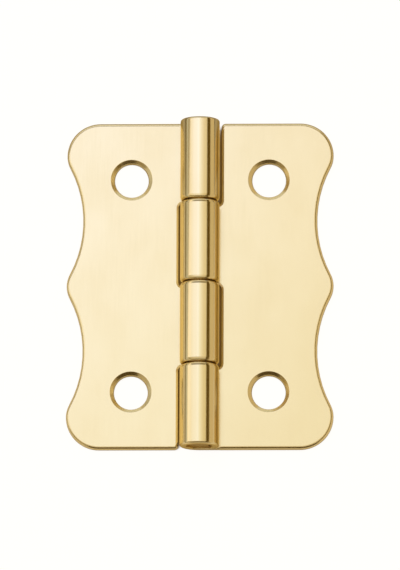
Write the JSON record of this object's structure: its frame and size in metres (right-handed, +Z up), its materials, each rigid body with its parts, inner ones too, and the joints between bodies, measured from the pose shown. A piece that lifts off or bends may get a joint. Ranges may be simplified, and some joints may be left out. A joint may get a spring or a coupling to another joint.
{
  "type": "box hinge",
  "caption": "Small brass box hinge: two flat leaves with wavy outer edges and countersunk screw holes, rolled into interleaved knuckles round one plain pin.",
  "frame": {"origin": "middle of the open hinge, under the pin, on the plane of the leaves' back faces", "axes": "+Z up from the back faces towards the barrel, +Y along the pin, +X across the pin towards the right leaf; the hinge lies open and flat on its back"},
  "size_m": [0.032, 0.04, 0.0047],
  "materials": {
    "leaf_brass": "polished, with fine brushing along the pin",
    "pin_brass": "drawn wire with cropped, slightly tarnished ends"
  },
  "bodies": {
    "fixed_leaf": {"left_leaf": "leaf_brass", "hinge_pin": "pin_brass"},
    "moving_leaf": {"right_leaf": "leaf_brass"}
  },
  "joints": [
    {"name": "leaf_fold", "type": "hinge", "parent": "fixed_leaf", "child": "moving_leaf", "pos_m": [0, 0, 0.00235], "axis": [0, -1, 0], "range_deg": [-90, 180]}
  ]
}
